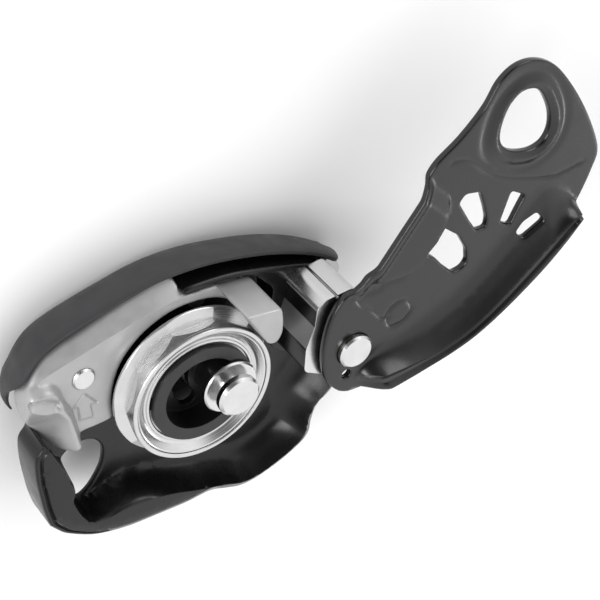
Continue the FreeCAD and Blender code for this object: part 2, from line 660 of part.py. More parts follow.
def check_and_export():
    doc.recompute()
    for item in doc.Objects:
        if "Invalid" in item.State or "Error" in item.State:
            raise RuntimeError("%s: %s" % (item.Label, item.State))
    os.makedirs("parts", exist_ok=True)
    for piece in pieces:
        if piece.Shape.isNull() or not piece.Shape.isValid():
            raise RuntimeError(piece.Label + ": bad shape")
        piece.Shape.exportStep("parts/%s.step" % piece.Label)
        print(piece.Label, len(piece.Shape.Solids), round(piece.Shape.Volume))


build()
check_and_export()
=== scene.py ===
"""Looks of an open assisted-braking belay device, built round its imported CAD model.

Everything is in metres in the row frame. Lengths below are written in millimetres, and scaled
by MM where they reach Blender.
"""

import json
import math

import bpy
import numpy as np
from mathutils import Matrix, Vector, geometry


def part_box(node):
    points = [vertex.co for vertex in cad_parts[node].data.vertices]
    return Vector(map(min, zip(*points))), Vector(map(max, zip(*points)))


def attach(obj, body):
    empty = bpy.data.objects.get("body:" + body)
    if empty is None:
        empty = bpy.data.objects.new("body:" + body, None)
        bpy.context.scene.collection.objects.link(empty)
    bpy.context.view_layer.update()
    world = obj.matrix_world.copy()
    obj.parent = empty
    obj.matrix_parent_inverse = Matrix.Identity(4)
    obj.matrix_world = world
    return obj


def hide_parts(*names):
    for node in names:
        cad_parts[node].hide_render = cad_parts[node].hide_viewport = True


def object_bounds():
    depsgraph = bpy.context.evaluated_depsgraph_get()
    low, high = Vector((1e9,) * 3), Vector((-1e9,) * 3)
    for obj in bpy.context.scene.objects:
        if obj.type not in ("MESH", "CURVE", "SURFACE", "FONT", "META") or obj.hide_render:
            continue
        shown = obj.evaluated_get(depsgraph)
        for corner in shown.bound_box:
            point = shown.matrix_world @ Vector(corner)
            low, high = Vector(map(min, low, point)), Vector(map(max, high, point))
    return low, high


MM = 0.001
CREASE_ANGLE = 50

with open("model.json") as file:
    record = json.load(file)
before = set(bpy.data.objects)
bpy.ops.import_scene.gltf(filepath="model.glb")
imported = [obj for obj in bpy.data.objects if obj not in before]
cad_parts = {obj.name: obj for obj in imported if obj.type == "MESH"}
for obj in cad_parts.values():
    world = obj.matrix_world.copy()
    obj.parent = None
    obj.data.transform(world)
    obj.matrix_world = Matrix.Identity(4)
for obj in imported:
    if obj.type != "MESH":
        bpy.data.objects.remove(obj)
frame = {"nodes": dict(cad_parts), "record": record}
cad_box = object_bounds()
nodes = frame["nodes"]


# ---- materials ----

def new_material(name, colour, metallic, roughness, **shader):
    """Principled material. shader holds more sockets, with underscores for spaces."""
    material = bpy.data.materials.new(name)
    material.use_nodes = True
    tree = material.node_tree
    bsdf = tree.nodes["Principled BSDF"]
    bsdf.inputs["Base Color"].default_value = (*colour, 1)
    bsdf.inputs["Metallic"].default_value = metallic
    bsdf.inputs["Roughness"].default_value = roughness
    for socket, number in shader.items():
        bsdf.inputs[socket.replace("_", " ")].default_value = number
    return material, tree, bsdf


def add(tree, kind, inputs=None, **settings):
    """New node, with each input linked to a socket or set to a value."""
    node = tree.nodes.new("ShaderNode" + kind)
    for name, setting in settings.items():
        setattr(node, name, setting)
    for key, source in (inputs or {}).items():
        if isinstance(source, bpy.types.NodeSocket):
            tree.links.new(source, node.inputs[key])
        else:
            node.inputs[key].default_value = source
    return node


def spread(tree, source, low, high):
    """A texture's 0.3 to 0.7 mapped on to a range."""
    return add(tree, "MapRange", {"Value": source, "From Min": 0.3, "From Max": 0.7,
                                  "To Min": low, "To Max": high}).outputs["Result"]


def place_of(tree, centre=(0, 0, 0)):
    """Object coordinates in millimetres, about a centre in the row frame."""
    where = add(tree, "TexCoord").outputs["Object"]
    moved = add(tree, "VectorMath", {0: where, 1: [-c for c in centre]}, operation="ADD")
    return add(tree, "VectorMath", {0: moved.outputs[0], "Scale": 1 / MM},
               operation="SCALE").outputs[0]


def noise_of(tree, where, size, detail=3.0):
    """Noise whose largest features are about the size given, in millimetres."""
    return add(tree, "TexNoise", {"Vector": where, "Scale": 1 / size,
                                  "Detail": detail}).outputs["Fac"]


def tint(tree, bsdf, colour, amount, where, size):
    """Slow drift of the colour's brightness."""
    drift = spread(tree, noise_of(tree, where, size), 1 - amount, 1 + amount)
    scaled = add(tree, "VectorMath", {0: colour, "Scale": drift}, operation="SCALE").outputs[0]
    tree.links.new(scaled, bsdf.inputs["Base Color"])


def relief(tree, bsdf, layers, soft_edge):
    """Stacks bumps, each a height socket and its depth in millimetres, over rounded edges."""
    normal = add(tree, "Bevel", {"Radius": soft_edge * MM}, samples=4).outputs["Normal"]
    for height, depth in layers:
        normal = add(tree, "Bump", {"Height": height, "Distance": depth * MM,
                                    "Normal": normal}).outputs["Normal"]
    tree.links.new(normal, bsdf.inputs["Normal"])


def coated(name, colour, roughness, grain, grain_depth, **shader):
    """Paint or moulded plastic: fine grain, a slow drift of colour and small scuffs."""
    material, tree, bsdf = new_material(name, colour, 0.0, roughness, **shader)
    where = place_of(tree)
    tint(tree, bsdf, colour, 0.12, where, 22)
    fine = noise_of(tree, where, grain)
    scuffs = noise_of(tree, where, 5.0, 8.0)
    tree.links.new(spread(tree, scuffs, roughness * 0.85, roughness * 1.2),
                   bsdf.inputs["Roughness"])
    relief(tree, bsdf, [(fine, grain_depth)], 0.3)
    return material


def cast_metal(name, colour, roughness):
    """Bead-blasted casting: a fine pebbled skin with shallow waves under it."""
    material, tree, bsdf = new_material(name, colour, 0.55, roughness)
    where = place_of(tree)
    tint(tree, bsdf, colour, 0.05, where, 9)
    tree.links.new(spread(tree, noise_of(tree, where, 2.5), roughness * 0.85, roughness * 1.15),
                   bsdf.inputs["Roughness"])
    waves = noise_of(tree, where, 5.0, 1.0)
    pebbles = noise_of(tree, where, 0.2)
    relief(tree, bsdf, [(waves, 0.03), (pebbles, 0.012)], 0.3)
    return material


def turned_metal(name, colour, roughness, node, marks):
    """Lathe-finished metal: fine rings about the node's own axis."""
    material, tree, bsdf = new_material(name, colour, 1.0, roughness)
    low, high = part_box(node)
    middle = (low + high) / 2
    where = place_of(tree, (middle.x, middle.y, 0))
    split = add(tree, "SeparateXYZ", {"Vector": where})
    flat = add(tree, "CombineXYZ", {"X": split.outputs["X"], "Y": split.outputs["Y"]})
    radius = add(tree, "VectorMath", {0: flat.outputs[0]}, operation="LENGTH").outputs["Value"]
    rings = add(tree, "TexNoise", {"W": radius, "Scale": 6.0, "Detail": 4.0},
                noise_dimensions="1D").outputs["Fac"]
    bands = add(tree, "TexNoise", {"W": split.outputs["Z"], "Scale": 5.0, "Detail": 4.0},
                noise_dimensions="1D").outputs["Fac"]
    tint(tree, bsdf, colour, 0.04, where, 4)
    tree.links.new(spread(tree, rings, roughness * 0.75, roughness * 1.3),
                   bsdf.inputs["Roughness"])
    relief(tree, bsdf, [(rings, marks), (bands, marks)], 0.12)
    return material


def plain_metal(name, colour, roughness, grain_depth=0.004):
    """Ground or rolled metal: streaks along X."""
    material, tree, bsdf = new_material(name, colour, 1.0, roughness)
    where = place_of(tree)
    stretched = add(tree, "VectorMath", {0: where, 1: (0.12, 2.2, 1.0)}, operation="MULTIPLY")
    streaks = noise_of(tree, stretched.outputs[0], 0.9, 5.0)
    tint(tree, bsdf, colour, 0.05, where, 6)
    tree.links.new(spread(tree, streaks, roughness * 0.8, roughness * 1.25),
                   bsdf.inputs["Roughness"])
    relief(tree, bsdf, [(streaks, grain_depth)], 0.15)
    return material


def shade_painted_metal(name, colour, roughness):
    """Bright metal with painted shade: the side that faces -X is coloured near black and made
    non-metallic.
    """
    material, tree, bsdf = new_material(name, colour, 1.0, roughness)
    normal = add(tree, "TexCoord").outputs["Normal"]
    facing = add(tree, "SeparateXYZ", {"Vector": normal}).outputs["X"]
    unshaded_side = add(tree, "MapRange", {"Value": facing, "From Min": -0.8,
                                  "From Max": -0.6}).outputs["Result"]
    grain = noise_of(tree, place_of(tree), 2.5, 4.0)
    # painted shade: near-black colour for the faces turned towards -X
    painted_shade_colour = (0.006, 0.006, 0.0063, 1)
    shade = add(tree, "Mix", {"Factor": unshaded_side, 6: painted_shade_colour, 7: (*colour, 1)}, data_type="RGBA")
    tree.links.new(shade.outputs[2], bsdf.inputs["Base Color"])
    tree.links.new(unshaded_side, bsdf.inputs["Metallic"])
    tree.links.new(spread(tree, grain, roughness * 0.9, roughness * 1.2), bsdf.inputs["Roughness"])
    relief(tree, bsdf, [(grain, 0.001)], 0.25)
    return material


MATERIALS = {
    "black_plate": coated("black_plate", (0.004, 0.004, 0.0044), 0.26, 0.35, 0.004,
                          Specular_IOR_Level=0.38),
    "gloss_black_plate": coated("gloss_black_plate", (0.004, 0.004, 0.0042), 0.24, 0.5, 0.003,
                                Coat_Weight=0.1, Coat_Roughness=0.1),
    "grip_plastic": coated("grip_plastic", (0.03, 0.0305, 0.032), 0.55, 0.3, 0.02,
                           Specular_IOR_Level=0.4),
    "black_cam": coated("black_cam", (0.008, 0.008, 0.0085), 0.34, 0.6, 0.004,
                        Specular_IOR_Level=0.5),
    "bush_plastic": coated("bush_plastic", (0.10, 0.10, 0.105), 0.5, 0.4, 0.005),
    "satin_casting": cast_metal("satin_casting", (0.42, 0.42, 0.425), 0.42),
    # the post's side facing -X gets painted shade from this material
    "post_metal": shade_painted_metal("post_metal", (0.66, 0.66, 0.66), 0.22),
    "wheel_steel": turned_metal("wheel_steel", (0.62, 0.62, 0.62), 0.26, "sheave_front_ring",
                                0.001),
    "turned_steel": turned_metal("turned_steel", (0.66, 0.66, 0.66), 0.2, "cam_axle", 0.004),
    "rivet_steel": turned_metal("rivet_steel", (0.66, 0.66, 0.66), 0.26, "pivot_rivet", 0.004),
    "spring_steel": plain_metal("spring_steel", (0.5, 0.5, 0.49), 0.28),
    "lever_steel": plain_metal("lever_steel", (0.42, 0.42, 0.42), 0.35, 0.008),
    "bronze": plain_metal("bronze", (0.3, 0.26, 0.21), 0.4),
}


def dress(piece, slot_name):
    """Gives a piece the material of a slot, and no other."""
    piece.data.materials.clear()
    piece.data.materials.append(MATERIALS[slot_name])


for part in frame["record"]["subparts"]:
    dress(nodes[part["node"]], part["material_slot"])


# ---- mesh tools; every outline is in millimetres ----

def smooth(points, step=0.8, closed=True):
    """Evenly walked curve through the given points."""
    points = np.array(points, float)
    if not closed:
        points = np.vstack([2 * points[0] - points[1], points, 2 * points[-1] - points[-2]])
    count = len(points)
    walk = []
    for index in range(count) if closed else range(1, count - 2):
        before, start = points[index - 1], points[index]
        end, after = points[(index + 1) % count], points[(index + 2) % count]
        pieces = max(1, round(np.linalg.norm(end - start) / step))
        t = np.arange(pieces)[:, None] / pieces
        walk.append(0.5 * (2 * start + (end - before) * t
                           + (2 * before - 5 * start + 4 * end - after) * t ** 2
                           + (3 * start - before - 3 * end + after) * t ** 3))
    if not closed:
        walk.append(points[-2][None])
    return np.vstack(walk)


def cornered(points, radius, step=0.35):
    """Closed outline of straight runs with rounded corners."""
    points = np.array(points, float)
    walk = []
    for before, here, after in zip(np.roll(points, 1, 0), points, np.roll(points, -1, 0)):
        back, ahead = before - here, after - here
        reach = min(radius, 0.45 * np.linalg.norm(back), 0.45 * np.linalg.norm(ahead))
        first = here + back / np.linalg.norm(back) * reach
        last = here + ahead / np.linalg.norm(ahead) * reach
        t = np.linspace(0, 1, 6)[:, None]
        walk.append((1 - t) ** 2 * first + 2 * t * (1 - t) * here + t ** 2 * last)
    loop = np.vstack(walk)
    length = np.linalg.norm(np.roll(loop, -1, 0) - loop, axis=1).sum()
    return resampled(loop, round(length / step), True)


def round_node(node):
    """Centre and radius of a round CAD node, from its box."""
    low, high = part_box(node)
    middle = (low + high) / 2 / MM
    return (middle.x, middle.y), (high.x - low.x) / 2 / MM


def ring(radius, centre, count=48):
    """Circle as a closed loop of points."""
    turn = np.arange(count) * 2 * math.pi / count
    return np.column_stack([centre[0] + radius * np.cos(turn), centre[1] + radius * np.sin(turn)])


def distance(places, line, closed=True):
    """Distance from each place to a line of straight runs."""
    start = line if closed else line[:-1]
    run = np.roll(line, -1, 0)[:len(start)] - start
    length = np.maximum((run ** 2).sum(1), 1e-12)
    found = []
    for block in np.array_split(places, max(1, len(places) // 1500)):
        offset = block[:, None, :] - start[None]
        along = np.clip((offset * run).sum(2) / length, 0, 1)
        found.append(np.linalg.norm(offset - along[..., None] * run, axis=2).min(1))
    return np.concatenate(found)


def within(places, loop):
    """Which places lie inside a closed loop."""
    x, y = places[:, 0][:, None], places[:, 1][:, None]
    ahead = np.roll(loop, -1, 0)
    crosses = (loop[:, 1] > y) != (ahead[:, 1] > y)
    rise = np.where(ahead[:, 1] == loop[:, 1], 1e-12, ahead[:, 1] - loop[:, 1])
    left = x < (ahead[:, 0] - loop[:, 0]) * (y - loop[:, 1]) / rise + loop[:, 0]
    return (crosses & left).sum(1) % 2 == 1


def side_of(places, loop):
    """Distance to a loop, negative inside it."""
    return np.where(within(places, loop), -1, 1) * distance(places, loop)


def ease(t):
    """Smooth step from 0 to 1."""
    t = np.clip(t, 0, 1)
    return t * t * (3 - 2 * t)


def dip(gap, width):
    """Bell curve: 1 on a line, and fading with the distance from it."""
    return np.exp(-(gap / width) ** 2)


def new_piece(name, verts, faces, body, slot_name, *replaced, angle=35):
    """Piece on a body, smooth up to the angle between faces given in degrees."""
    mesh = bpy.data.meshes.new(name)
    mesh.from_pydata([tuple(v) for v in np.array(verts) * MM], [], faces)
    mesh.validate()
    mesh.shade_smooth()
    mesh.set_sharp_from_angle(angle=math.radians(angle))
    piece = bpy.data.objects.new(name, mesh)
    bpy.context.collection.objects.link(piece)
    dress(piece, slot_name)
    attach(piece, body)
    if replaced:
        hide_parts(*replaced)


def offset_loop(loop, depth, inwards):
    """A loop moved sideways by a depth."""
    along = np.roll(loop, -1, 0) - np.roll(loop, 1, 0)
    along /= np.maximum(np.linalg.norm(along, axis=1), 1e-9)[:, None]
    area = (loop[:, 0] * np.roll(loop[:, 1], -1) - np.roll(loop[:, 0], -1) * loop[:, 1]).sum()
    normal = np.column_stack([-along[:, 1], along[:, 0]]) * (1 if area > 0 else -1)
    return loop + normal * depth * (1 if inwards else -1)


EVEN_ROWS = 0.866  # a row's height over the spacing, in a grid of even triangles


def sheet(name, outline, holes, top, bottom, body, slot_name, *replaced,
          edge=0.6, spacing=1.0, guides=()):
    """Formed sheet: its faces follow the height functions, and its edges are rounded.

    guides are extra rows of points, where the shape is steep.
    """
    loops = [outline] + list(holes)
    rows = [edge * part for part in (0.13, 0.4, 0.75, 1.15)]
    low, high = outline.min(0), outline.max(0)
    across = np.arange(low[0], high[0], spacing)
    up = np.arange(low[1], high[1], spacing * EVEN_ROWS)
    grid = np.array([(x + (row % 2) * spacing / 2, y) for row, y in enumerate(up)
                     for x in across])
    steep = np.vstack(guides) if guides else np.zeros((0, 2))
    if len(steep):
        nearest = np.concatenate([np.linalg.norm(block[:, None] - steep[None], axis=2).min(1)
                                  for block in np.array_split(grid, 1 + len(grid) // 1000)])
        grid = grid[nearest > spacing * 0.6]

    def clear_of_edges(places, gap):
        keep = within(places, outline) & (distance(places, outline) > gap)
        for hole in holes:
            keep &= ~within(places, hole) & (distance(places, hole) > gap)
        return places[keep]

    points = [np.vstack(loops)]
    for row in rows:
        beside = np.vstack([offset_loop(loop, row, number == 0)
                            for number, loop in enumerate(loops)])
        points.append(clear_of_edges(beside, row * 0.93))
    points.append(clear_of_edges(steep, edge * 1.3))
    points.append(clear_of_edges(grid, edge * 1.15 + spacing * 0.35))
    places = np.vstack(points)
    edges, start = [], 0
    for loop in loops:
        edges += [(start + k, start + (k + 1) % len(loop)) for k in range(len(loop))]
        start += len(loop)
    cdt = geometry.delaunay_2d_cdt([Vector(p) for p in places], edges, [], 0, 1e-5)
    places = np.array([tuple(v) for v in cdt[0]])
    faces = np.array([f if len(f) == 3 else f[:3] for f in cdt[2]])
    middle = places[faces].mean(1)
    keep = within(middle, outline)
    for hole in holes:
        keep &= ~within(middle, hole)
    faces = faces[keep]
    used = np.unique(faces)
    renumber = {old: new for new, old in enumerate(used)}
    places = places[used]
    faces = [[renumber[v] for v in f] for f in faces]
    faces = [f if np.cross(places[f[1]] - places[f[0]], places[f[2]] - places[f[0]]) > 0
             else f[::-1] for f in faces]
    depth = np.min([distance(places, loop) for loop in loops], axis=0)
    bend = np.clip(edge - depth, 0, edge)
    drop = edge - np.sqrt(np.maximum(edge ** 2 - bend ** 2, 0))
    upper = np.column_stack([places, top(places) - drop])
    lower = np.column_stack([places, bottom(places) + drop])
    count = len(places)
    directed = [(f[k], f[(k + 1) % 3]) for f in faces for k in range(3)]
    known = set(directed)
    sides = [(b, a, a + count, b + count) for a, b in directed if (b, a) not in known]
    faces = faces + [[v + count for v in f[::-1]] for f in faces] + sides
    new_piece(name, np.vstack([upper, lower]), faces, body, slot_name, *replaced)


def resampled(line, count, closed=False):
    """The same line as evenly spaced points."""
    line = np.vstack([line, line[:1]]) if closed else line
    walked = np.concatenate([[0], np.cumsum(np.linalg.norm(np.diff(line, axis=0), axis=1))])
    at = np.linspace(0, walked[-1], count, endpoint=not closed)
    return np.column_stack([np.interp(at, walked, line[:, axis]) for axis in (0, 1)])


def between(first, second, parts, count):
    """Rows of points that lead from one open line over to another."""
    first, second = resampled(first, count), resampled(second, count)
    return [first + (second - first) * part for part in parts]


def stack(name, levels, body, slot_name):
    """Solid through closed outlines of equal count, each at its level, from the lowest up."""
    count = len(levels[0][0])
    rows = [np.column_stack([outline, np.full(count, level)]) for outline, level in levels]
    faces = [tuple(reversed(range(count)))]
    for row in range(len(rows) - 1):
        for k in range(count):
            a, b = row * count + k, row * count + (k + 1) % count
            faces.append((a, b, b + count, a + count))
    faces.append(tuple(range((len(rows) - 1) * count, len(rows) * count)))
    new_piece(name, np.vstack(rows), faces, body, slot_name, angle=CREASE_ANGLE)


def sweep(name, path, profile, body, slot_name, *replaced):
    """Solid drawn along a flat path. profile(t) gives (sideways, level) corners at 0 <= t <= 1."""
    path = np.array(path, float)
    along = np.gradient(path, axis=0)
    along /= np.linalg.norm(along, axis=1)[:, None]
    out = np.column_stack([-along[:, 1], along[:, 0]])
    walked = np.concatenate([[0], np.cumsum(np.linalg.norm(np.diff(path, axis=0), axis=1))])
    rows = []
    for place, side, t in zip(path, out, walked / walked[-1]):
        corners = np.array(profile(t), float)
        rows.append(np.column_stack([place + corners[:, :1] * side, corners[:, 1]]))
    size = len(rows[0])
    faces = []
    for row in range(len(rows) - 1):
        for k in range(size):
            a, b = row * size + k, row * size + (k + 1) % size
            faces.append((a, b, b + size, a + size))
    faces.append(tuple(reversed(range(size))))
    faces.append(tuple(range((len(rows) - 1) * size, len(rows) * size)))
    new_piece(name, np.vstack(rows), faces, body, slot_name, *replaced, angle=CREASE_ANGLE)


# ---- the swinging side plate ----

PLATE_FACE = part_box("pivot_bush")[1].z / MM
PLATE_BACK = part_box("pivot_bush")[0].z / MM
LIP_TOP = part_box("moving_side_plate")[1].z / MM

# the lip climbs from its root to a ridge, and ends in a flange at its edge
LIP_ROOT = smooth([
    (64, -8.5), (67, -7.2), (72, -6.2), (80, -6.2), (88, -6), (98, -5.2), (108, -2.4),
    (118, 1.4), (126, 5.2), (131, 6), (135.3, 2.4), (138, -5.6)], 1.0, False)
RIDGE = smooth([
    (63.6, -9.4), (67, -8.8), (71.1, -9.6), (79.3, -12.7), (88.1, -15.2), (97.7, -15.8),
    (108.1, -13.8), (118.7, -10.4), (126.5, -8), (133, -6.4), (137.4, -7.4)], 0.7, False)
LIP_EDGE = smooth([
    (66.6, -13.9), (68.4, -15.2), (71.2, -16.4), (76, -17.6), (82, -18.8), (90, -20.2),
    (98.3, -20.7), (108.5, -19.4), (120.8, -16.4), (130, -13), (136.6, -9.8)], 1.0, False)
STRIP = smooth([
    (107, 27), (103.6, 18.9), (99.6, 15.2), (96, 12.3), (92.6, 10.8), (89.1, 11.3), (84.3, 13.4),
    (79.6, 16.3), (77, 20), (84, 25), (94, 31), (100, 35), (105.4, 38)], 0.7)
RAMP_TOP, RAMP_RUN, RAMP_WAY = (101.6, 23.5), 4.6, (0.93, 0.37)
TURNED_UP = smooth([(75.4, 16.2), (77.4, 17.3), (82.6, 20.1), (90.9, 25), (99, 29.9),
                    (104, 34.4)], 1.0, False)
CREASES = [smooth([(88, 10.3), (84.3, 12.2), (80.3, 14.1), (76.6, 16.4)], 1.0, False),
           smooth([(81.4, 12), (77.2, 14), (73.9, 15.8)], 1.0, False)]
GROOVES = [
    smooth([(109.5, 33), (114.2, 29.5), (119.6, 19.4), (127.9, 10.8), (134.4, 6),
            (143, 3.6)], 0.5, False),
    smooth([(74.6, 14.3), (75.2, 10.8), (77.1, 7.3), (78.4, 3), (80.6, 1.4)], 0.5, False),
    smooth([(80, 2.4), (79.6, -1.6), (83.2, -3), (86.4, -1.4), (86, 2.6), (83, 4)], 0.5)]
EYE_OF_PLATE = smooth([
    (135.3, 36.4), (132.3, 37.6), (128.9, 36.6), (126, 33.9), (123.9, 30.5), (123.4, 27.5),
    (124.6, 24.2), (127.2, 21.3), (130.7, 19.2), (134.1, 19.1), (136.6, 21.4), (137.9, 25.6),
    (137.8, 30.7), (137, 34.2)], 0.7)
PIN_HOLE = ring(1.25, (64.4, -6.2), 32)
RIM_RISE, STRIP_RISE, BOSS_RISE = 1.0, 1.5, 0.85
DITCH_DEPTH, CREASE_DEPTH, GROOVE_DEPTH = 0.25, 0.35, 0.22


def plate_outline():
    """The plate's edge round the eye and the pivot, closed by the lip's edge."""
    start = [(136.6, -9.8), (138.2, -7.6), (140.6, -5.4), (144.8, -1), (147.8, 3.2),
             (148.3, 10), (147.4, 20.4), (145.3, 31), (142.6, 38.6), (138.4, 43.6), (133.3, 45.8),
             (127.9, 44.8), (122.1, 40.6), (114.3, 37.3), (106.6, 35.4), (102.6, 33),
             (98.6, 29.8), (90.9, 25.3), (82.6, 20.4), (77.4, 17.6), (74.8, 16.6), (72, 16.8),
             (67.4, 13.9), (62.9, 8), (60.2, 2), (59.3, -4), (60.6, -9.4), (63.2, -12.6)]
    return np.vstack([smooth(start, 0.7, False), LIP_EDGE[:-1]])


def plate_top(places):
    """Flat sheet with a turned-up rim, a boss round the eye and a climbing lip."""
    level = np.full(len(places), PLATE_FACE)
    # turned-up rim along the side that faces the handle
    near = distance(places, TURNED_UP, closed=False)
    ends = ease((places[:, 0] - 73) / 5) * ease((107.2 - places[:, 0] - 0.1 * places[:, 1]) / 2.5)
    level += RIM_RISE * ends * (1 - ease((near - 1.2) / 1.6))
    # boss round the eye, with a shallow ditch outside it
    eye = distance(places, EYE_OF_PLATE)
    level += BOSS_RISE * dip(eye - 1.9, 1.25) - DITCH_DEPTH * dip(eye - 4.6, 1.2)
    for crease in CREASES:
        level -= CREASE_DEPTH * dip(distance(places, crease, closed=False), 0.55)
    # raised strip inside that rim, ending in a ramp
    strip = 1 - ease((side_of(places, STRIP) + 0.2) / 0.7)
    down = (places - RAMP_TOP) @ np.array(RAMP_WAY)
    ramp = (1 - np.clip(down / RAMP_RUN, 0, 1)) * ease((places[:, 0] - 79) / 4)
    level += STRIP_RISE * strip * ramp
    for groove in GROOVES:
        level -= GROOVE_DEPTH * dip(distance(places, groove, closed=False), 0.3)
    # lip: climbs to a sharp ridge, dips, and ends in a flange
    root = distance(places, LIP_ROOT, closed=False)
    ridge = distance(places, RIDGE, closed=False)
    rim = distance(places, LIP_EDGE, closed=False)
    inner = within(places, np.vstack([LIP_ROOT, RIDGE[::-1]]))
    outer = within(places, np.vstack([LIP_ROOT, [(142, -5), (142, -13)],
                                      LIP_EDGE[::-1] - (0, 1.5)])) & ~inner
    climb = np.interp(root / np.maximum(root + ridge, 1e-9), [0, 0.2, 0.45, 0.75, 1],
                      [0, 0.03, 0.22, 0.62, 1]) * inner
    climb += np.interp(ridge / np.maximum(ridge + rim, 1e-9), [0, 0.1, 0.28, 0.55, 0.72, 0.8, 1],
                       [1, 0.93, 0.72, 0.66, 0.7, 0.88, 0.86]) * outer
    start = ease((places[:, 0] - 65.5) / 7) * (1 - ease((places[:, 0] - 136.2) / 1.8))
    return level + (LIP_TOP - PLATE_FACE - 0.1) * climb * start


def plate_bottom(places):
    return np.maximum(plate_top(places) - (PLATE_FACE - PLATE_BACK), PLATE_BACK)


def moving_plate():
    windows = [
        [(95, 12.9), (102, 15.6), (105, 9.8), (105.6, 3.9), (104.6, 0.1), (102.8, -0.9),
         (100.2, -0.2), (98.4, 4.4), (97.3, 8.4)],
        [(108.1, 19.2), (110.4, 20.4), (114.2, 17.8), (113.9, 12), (113.5, 8.4), (112.3, 6),
         (109.8, 7.4), (109, 11.9)],
        [(122, 11), (125.2, 6.7), (121.8, 3.9), (118.6, 1.1), (116.5, 4.4), (119, 7.4)],
        [(119.2, -2.1), (122.1, -0.6), (126.3, -0.3), (127, -2.9), (123.7, -3.6), (120.1, -4.3)],
    ]
    pivot, pivot_radius = round_node("pivot_bush")
    holes = [EYE_OF_PLATE, ring(pivot_radius, pivot, 64), PIN_HOLE]
    holes += [cornered(window, 0.9) for window in windows]
    sheet("moving_plate_shell", plate_outline(), holes, plate_top, plate_bottom, "side_plate",
          "gloss_black_plate", "moving_side_plate", edge=0.55, spacing=0.95,
          guides=between(LIP_ROOT, RIDGE, (0.15, 0.3, 0.45, 0.6, 0.75), 110)
          + [offset_loop(RIDGE, gap, True)[2:-2] for gap in (-0.9, -0.45, 0, 0.45, 0.9)]
          + between(RIDGE, LIP_EDGE, (0.35, 0.5, 0.65, 0.78, 0.88), 110)
          + [offset_loop(STRIP, gap, False) for gap in (-0.1, 0.3, 0.7)]
          + [offset_loop(line, gap, True)[1:-1] for line in GROOVES for gap in (-0.45, 0, 0.45)])


moving_plate()


# ---- the wheel ----

WHEEL_LOW, WHEEL_HIGH = [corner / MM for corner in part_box("sheave_wheel")]
RIM_LOW, RIM_HIGH = [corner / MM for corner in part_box("sheave_front_ring")]
FIRST_FACET = math.radians(14)
TURNS = FIRST_FACET + np.linspace(0, 2 * math.pi, 240, endpoint=False)
# ten facets: the cosine of each turn's angle from the middle of its facet
LEAN = np.cos((TURNS - FIRST_FACET) % (math.pi / 5) - math.pi / 10)


def turned_piece(name, profile, slot_name, *replaced):
    """Closed ring about the wheel's axis, through rows of (radius, level) from the back."""
    centre = (RIM_LOW + RIM_HIGH) / 2
    rows = [np.column_stack([centre.x + radius * np.cos(TURNS), centre.y + radius * np.sin(TURNS),
                             level + 0 * TURNS]) for radius, level in profile]
    count, total = len(TURNS), len(TURNS) * len(rows)
    faces = []
    for row in range(len(rows)):
        for k in range(count):
            a, b = row * count + k, row * count + (k + 1) % count
            faces.append((a, b, (b + count) % total, (a + count) % total))
    new_piece(name, np.vstack(rows), faces, "wheel", slot_name, *replaced, angle=8)


def wheel():
    """Grooved wheel: flat facets in the groove, and a hollow front between two raised rings."""
    back, front = WHEEL_LOW.z, RIM_LOW.z
    radius = RIM_HIGH.x - (RIM_LOW.x + RIM_HIGH.x) / 2
    flange = (WHEEL_HIGH.x - WHEEL_LOW.x) / 2
    root, bore, shelf, hollow = 17.6, 13.9, 14.4, 22.5
    root_low, root_high, cone_rise = 18.7, 20.1, 3.5
    land, step = front - 0.02, 17.7

    def lower(reach):
        """Level of the facet's lower cone."""
        return root_low + (flange - reach * LEAN) / (flange - root) * (root_high - root_low)

    def upper(reach):
        """Level of the facet's upper cone."""
        return root_high + (reach * LEAN - root) / (radius - root) * cone_rise

    turned_piece("wheel_body", [
        (bore, back), (flange - 0.3, back), (flange, back + 0.3), (flange, lower(flange) - 0.1),
        (flange - 0.1, lower(flange - 0.1)), (root / LEAN, root_high), (radius, upper(radius)),
        (radius, land), (step, land), (17.65, 24.66), (17.5, 24.74), (17.2, 24.6),
        (15.8, 23.3), (15.3, 23.1), (14.85, 23.15), (14.65, 23.5), (14.15, 23.58), (bore, 23.4),
        (bore, 23.2), (shelf, 23.2), (shelf, hollow), (bore, hollow)],
        "wheel_steel", "sheave_wheel")
    turned_piece("wheel_rim", [
        (17.78, front), (radius, front), (radius, 24.8), (radius - 0.2, RIM_HIGH.z),
        (17.98, RIM_HIGH.z), (17.78, 24.82)], "wheel_steel", "sheave_front_ring")


wheel()


# ---- the fixed side ----

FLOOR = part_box("friction_plate")[0].z / MM
PLATE_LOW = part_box("fixed_side_plate")[0].z / MM
RIM_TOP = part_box("fixed_side_plate")[1].z / MM
SEAT_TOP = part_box("pivot_post")[0].z / MM

FIXED_OUTLINE = smooth([
    (-14.7, -2), (-14, -5.6), (-12.4, -9.4), (-7.4, -15.8), (-0.2, -20.9), (7.6, -24.5),
    (15.6, -27.9), (22.3, -30.1), (26, -33.2), (29.6, -36.1), (34.4, -37.7), (42.3, -38.2),
    (49.3, -37.4), (52.7, -35.6), (55, -32), (58, -28.8), (61.6, -27.8), (65.4, -26),
    (70.6, -20.5), (75.4, -11.5), (78.2, -4), (78.7, 2), (77.2, 9), (73.2, 15), (66, 21.2),
    (59, 26.6), (54.4, 29.7), (48.4, 32.8), (43, 34.7), (36, 34.2), (25, 35.2), (15.8, 36.2),
    (6, 36.2), (-1.8, 33.4), (-4, 28), (-4.8, 23.4), (-8, 21.2), (-10.6, 15.6), (-12.6, 9),
    (-14, 3.4)], 0.9)
